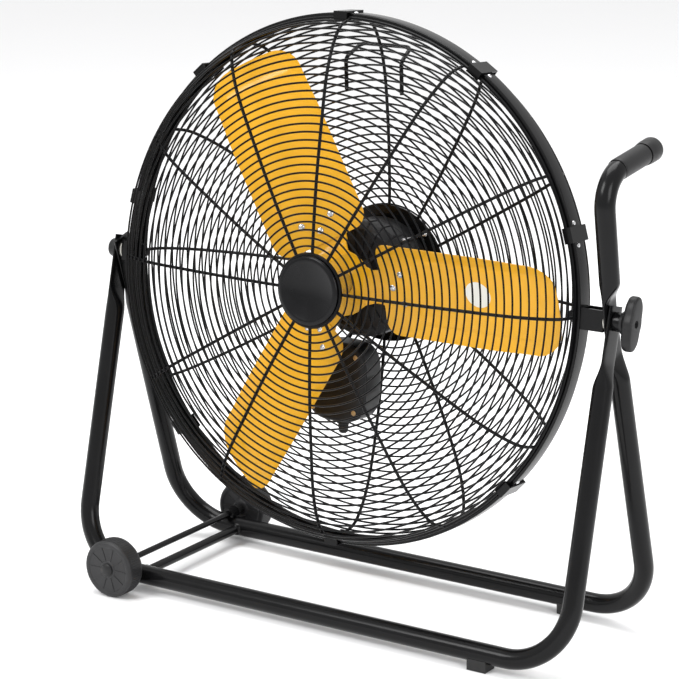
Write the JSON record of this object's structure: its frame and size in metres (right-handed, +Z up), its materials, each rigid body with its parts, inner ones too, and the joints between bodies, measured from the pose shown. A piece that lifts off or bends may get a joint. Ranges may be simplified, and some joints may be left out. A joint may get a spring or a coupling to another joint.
{
  "type": "high velocity floor fan",
  "caption": "Caged three-bladed drum-style floor fan that tilts between two pivots on a rolling stand of bent tube, with a clamp knob, a hand grip and a guarded motor.",
  "frame": {"origin": "on the floor, under the middle of the object's box", "axes": "+Z up; -Y the side the air leaves by; +X the side with the clamp knob and the hand grip"},
  "size_m": [0.778, 0.3354, 0.7639],
  "materials": {
    "tube": "gloss black enamel",
    "wire": "semi-gloss black coating on wire",
    "blade": "semi-gloss amber yellow paint on pressed sheet",
    "gloss": "plain gloss black, no lettering",
    "plastic": "fine satin moulding",
    "wheel": "satin moulding, ribbed tread",
    "rubber": "matt",
    "nylon": "natural moulding",
    "motor": "satin black paint",
    "steel": "bare",
    "zinc": "bright zinc plate"
  },
  "bodies": {
    "stand": {"front_base_tube": "tube", "rear_base_tube": "tube", "grip_end_cap": "plastic", "cross_brace": "tube", "foot_front": "rubber", "foot_rear": "rubber", "axle_saddle_front": "tube", "axle_saddle_rear": "tube", "wheel_axle": "zinc", "axle_spacer_front": "plastic", "axle_spacer_rear": "plastic", "axle_cap_front": "zinc", "axle_cap_rear": "zinc"},
    "wheel_front": {"wheel_front": "wheel"},
    "wheel_rear": {"wheel_rear": "wheel"},
    "head": {"rim_band": "tube", "front_guard": "wire", "rear_guard": "wire", "guard_clip_1": "tube", "guard_clip_2": "tube", "guard_clip_3": "tube", "guard_clip_4": "tube", "guard_clip_5": "tube", "guard_clip_6": "tube", "guard_clip_7": "tube", "guard_clip_8": "tube", "hub_badge": "gloss", "badge_backplate": "tube", "rear_carry_handle": "wire", "rim_bracket_left": "tube", "rim_bracket_right": "tube", "pivot_gusset_left": "tube", "pivot_gusset_right": "tube", "tilt_bolt_left": "zinc", "tilt_bolt_right": "zinc", "friction_washer_left": "nylon", "friction_washer_right": "nylon", "clamp_spacer": "tube", "pivot_cap_nut": "plastic", "motor_front_cover": "motor", "motor_rear_cover": "motor", "motor_mount_plate": "tube", "stator": "steel", "front_bearing": "steel", "rear_bearing": "steel", "control_box": "plastic", "control_box_lid": "plastic", "speed_switch": "nylon", "run_capacitor": "nylon", "cable_gland": "rubber"},
    "tilt_knob": {"tilt_knob": "plastic"},
    "speed_knob": {"speed_knob": "plastic"},
    "rotor": {"motor_shaft": "zinc", "rotor_core": "steel", "hub_bushing": "zinc", "blade_spider": "blade", "blade_1": "blade", "blade_2": "blade", "blade_3": "blade"}
  },
  "joints": [
    {"name": "head_tilt", "type": "hinge", "parent": "stand", "child": "head", "pos_m": [-0.015, -0.008, 0.426], "axis": [-1, 0, 0], "range_deg": [-34, 86]},
    {"name": "fan_spin", "type": "hinge", "parent": "head", "child": "rotor", "pos_m": [-0.015, -0.008, 0.426], "axis": [0, 0.9976, -0.0698], "continuous": true},
    {"name": "wheel_front_spin", "type": "hinge", "parent": "stand", "child": "wheel_front", "pos_m": [-0.289, -0.148, 0.038], "axis": [0, 1, 0], "continuous": true},
    {"name": "wheel_rear_spin", "type": "hinge", "parent": "stand", "child": "wheel_rear", "pos_m": [-0.289, 0.148, 0.038], "axis": [0, 1, 0], "continuous": true},
    {"name": "tilt_knob_turn", "type": "hinge", "parent": "head", "child": "tilt_knob", "pos_m": [0.381, -0.008, 0.426], "axis": [1, 0, 0], "range_deg": [-360, 0]},
    {"name": "speed_knob_turn", "type": "hinge", "parent": "head", "child": "speed_knob", "pos_m": [-0.05253, -0.01777, 0.28628], "axis": [0, 0.9976, -0.0698], "range_deg": [0, 135]}
  ]
}
